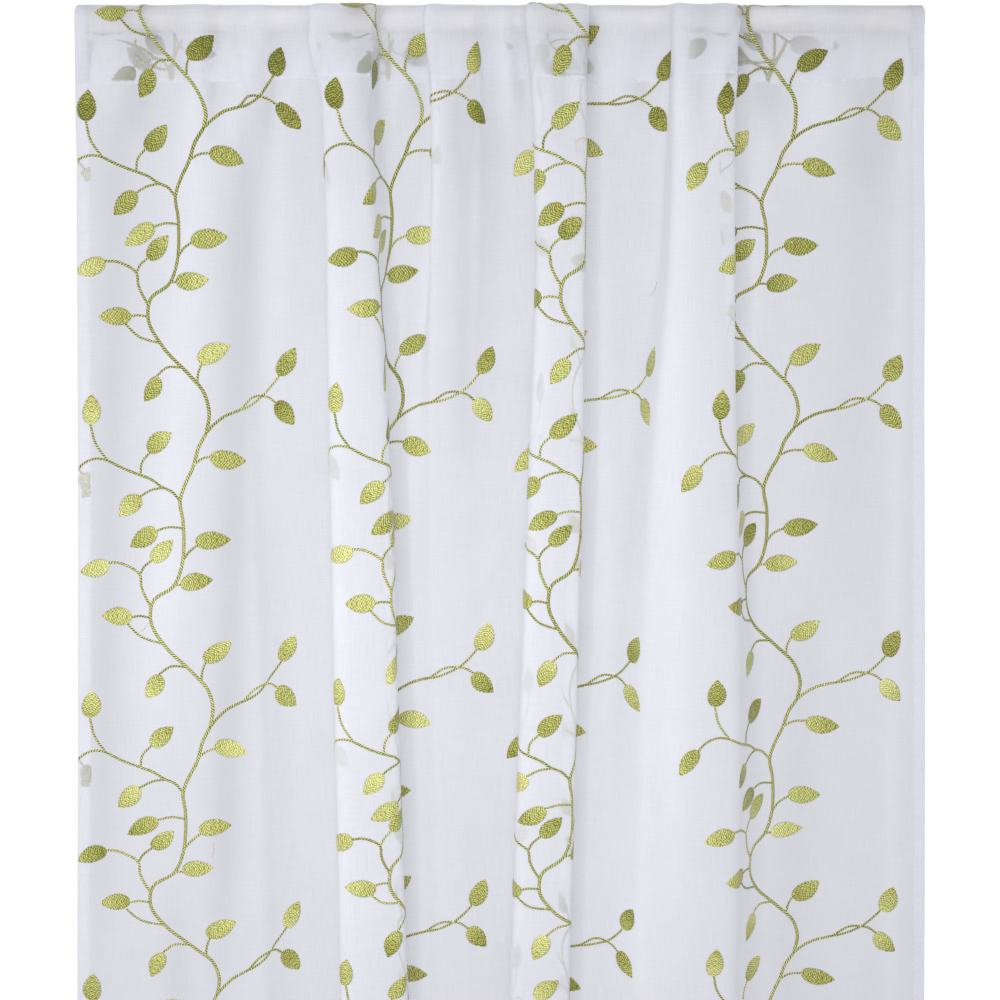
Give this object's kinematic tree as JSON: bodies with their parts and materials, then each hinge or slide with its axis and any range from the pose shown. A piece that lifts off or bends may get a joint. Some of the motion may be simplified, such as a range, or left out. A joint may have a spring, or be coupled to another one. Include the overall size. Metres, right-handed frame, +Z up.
{
  "type": "sheer curtain and rod",
  "caption": "Sheer voile curtain panel with a vine embroidery, gathered by its rod pocket on a plain round white rod and hanging in uneven soft folds.",
  "frame": {"origin": "middle of the rod's axis, which is also the height that the cloth hangs from", "axes": "+X along the rod to the right as seen from the room, -Y to the room, +Z up"},
  "size_m": [0.98, 0.0806, 2.1337],
  "materials": {
    "voile": "sheer woven",
    "white_paint": "satin"
  },
  "bodies": {
    "root": {"curtain": "voile", "rod": "white_paint"}
  },
  "joints": []
}
